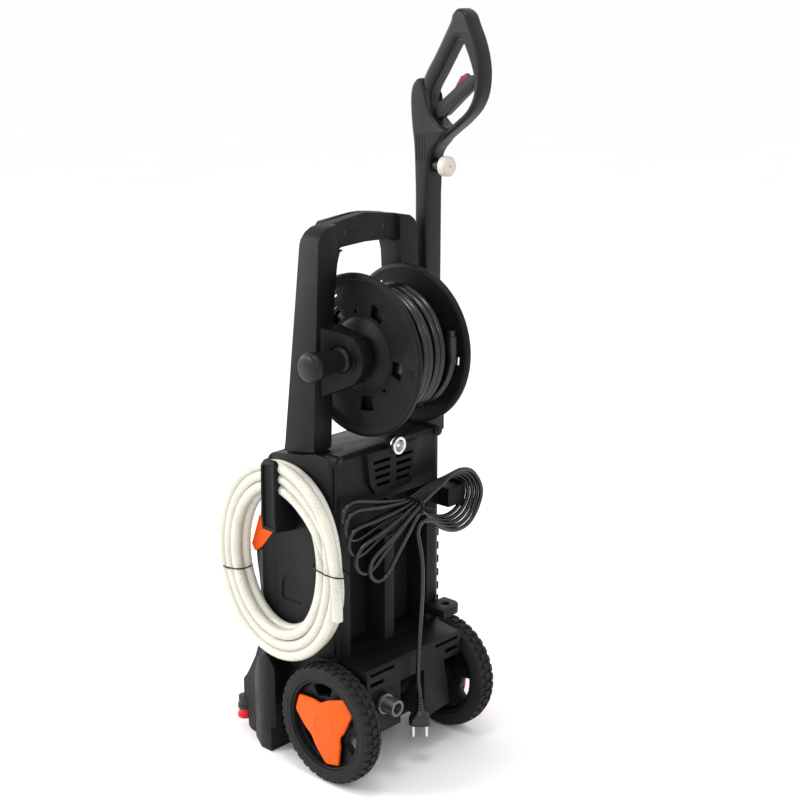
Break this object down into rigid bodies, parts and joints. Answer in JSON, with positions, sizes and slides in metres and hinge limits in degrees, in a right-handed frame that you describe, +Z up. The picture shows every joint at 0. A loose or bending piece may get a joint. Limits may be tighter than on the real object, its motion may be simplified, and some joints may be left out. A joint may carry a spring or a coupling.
{
  "type": "pressure washer",
  "caption": "Upright electric pressure washer on two wheels with a hose reel, carrying handle, trigger gun in a holster, supply hose on a hook and bundled mains cord.",
  "frame": {"origin": "centre of the footprint of the rigid machine, on the floor", "axes": "+Z up, +Y towards the operator behind the machine, +X across the machine towards the winding knob"},
  "size_m": [0.3, 0.3276, 1.055],
  "materials": {
    "housing_plastic": "fine matt moulded texture",
    "frame_plastic": "fine matt moulded texture",
    "grip_plastic": "soft satin",
    "orange_plastic": "satin",
    "feet_rubber": "matt",
    "tyre_plastic": "matt hard rubber",
    "rim_plastic": "satin",
    "steel": "bright",
    "zinc_screw": "dark zinc",
    "nickel": "bright",
    "inlet_metal": "grey satin",
    "brass": "satin",
    "red_plastic": "satin",
    "pressure_hose": "satin black jacket",
    "clear_hose": "milky translucent hose",
    "motor_steel": "grey",
    "copper_winding": "lacquered copper",
    "pump_alloy": "cast",
    "cap_alu": "satin",
    "switch_plastic": "satin",
    "cord_pvc": "satin black PVC",
    "tie_wire": "satin",
    "gun_plastic": "fine satin",
    "trigger_plastic": "satin",
    "lock_plastic": "satin",
    "cream_plastic": "satin"
  },
  "bodies": {
    "machine": {"base_chassis": "housing_plastic", "front_housing": "housing_plastic", "rear_housing": "housing_plastic", "accent_band": "orange_plastic", "wheel_guards": "housing_plastic", "front_feet": "feet_rubber", "handle_frame": "frame_plastic", "handle_grip": "grip_plastic", "screws": "zinc_screw", "reel_bracket_left": "frame_plastic", "reel_bracket_right": "frame_plastic", "hose_hook": "frame_plastic", "accessory_lug": "frame_plastic", "gun_holster": "frame_plastic", "rear_connector": "nickel", "water_inlet": "inlet_metal", "inlet_filter": "switch_plastic", "outlet_spigot": "switch_plastic", "wheel_axle": "steel", "axle_clips": "steel", "reel_swivel": "brass", "motor_housing": "motor_steel", "pump_body": "pump_alloy", "pump_pistons": "steel", "switch_box": "switch_plastic", "capacitor": "cap_alu", "cord_gland": "cord_pvc", "cord_lead": "cord_pvc", "cord_bundle": "cord_pvc", "ties": "tie_wire", "plug_body": "cord_pvc", "plug_pins": "nickel", "supply_hose_coil": "clear_hose"},
    "left_wheel": {"tyre_left": "tyre_plastic", "rim_left": "rim_plastic", "hub_cap_left": "orange_plastic"},
    "right_wheel": {"tyre_right": "tyre_plastic", "rim_right": "rim_plastic", "hub_cap_right": "orange_plastic"},
    "reel": {"reel_flange_left": "frame_plastic", "reel_flange_right": "frame_plastic", "reel_drum": "frame_plastic", "reel_shaft": "steel", "reel_hose": "pressure_hose", "hose_end_fitting": "nickel", "winding_knob": "grip_plastic"},
    "rotor": {"motor_rotor": "copper_winding", "cooling_fan": "switch_plastic", "wobble_plate": "steel"},
    "outlet_cap": {"outlet_cap": "red_plastic"},
    "power_knob": {"power_knob": "orange_plastic"},
    "gun": {"gun_shell_left": "gun_plastic", "gun_shell_right": "gun_plastic", "lance_tube": "steel", "gun_inlet": "steel"},
    "trigger": {"trigger": "trigger_plastic"},
    "trigger_lock": {"trigger_lock": "lock_plastic"},
    "gun_inlet_cap": {"gun_inlet_cap": "cream_plastic"}
  },
  "joints": [
    {"name": "left_wheel_spin", "type": "hinge", "parent": "machine", "child": "left_wheel", "pos_m": [0.12, 0.0597, 0.0875], "axis": [1, 0, 0], "continuous": true},
    {"name": "right_wheel_spin", "type": "hinge", "parent": "machine", "child": "right_wheel", "pos_m": [-0.12, 0.0597, 0.0875], "axis": [1, 0, 0], "continuous": true},
    {"name": "reel_spin", "type": "hinge", "parent": "machine", "child": "reel", "pos_m": [0, 0.0512, 0.603], "axis": [1, 0, 0], "continuous": true},
    {"name": "motor_spin", "type": "hinge", "parent": "machine", "child": "rotor", "pos_m": [0, -0.0333, 0.25], "axis": [0, 0, 1], "continuous": true},
    {"name": "outlet_cap_pull", "type": "slide", "parent": "machine", "child": "outlet_cap", "axis": [0, 0, -1], "range_m": [0, 0.01]},
    {"name": "power_knob_turn", "type": "hinge", "parent": "machine", "child": "power_knob", "pos_m": [0, -0.0903, 0.398], "axis": [0, 1, 0], "range_deg": [0, 90]},
    {"name": "gun_lift", "type": "slide", "parent": "machine", "child": "gun", "axis": [0, 0, 1], "range_m": [0, 0.2]},
    {"name": "trigger_pull", "type": "hinge", "parent": "gun", "child": "trigger", "pos_m": [-0.13, 0.0307, 0.914], "axis": [1, 0, 0], "range_deg": [0, 10], "stiffness_Nm_per_rad": 0.6, "springref_deg": -11.46},
    {"name": "trigger_lock_turn", "type": "hinge", "parent": "trigger", "child": "trigger_lock", "pos_m": [-0.13, 0.0647, 0.94], "axis": [1, 0, 0], "range_deg": [0, 20]},
    {"name": "gun_inlet_cap_pull", "type": "slide", "parent": "gun", "child": "gun_inlet_cap", "axis": [0, 1, 0], "range_m": [0, 0.014]}
  ]
}
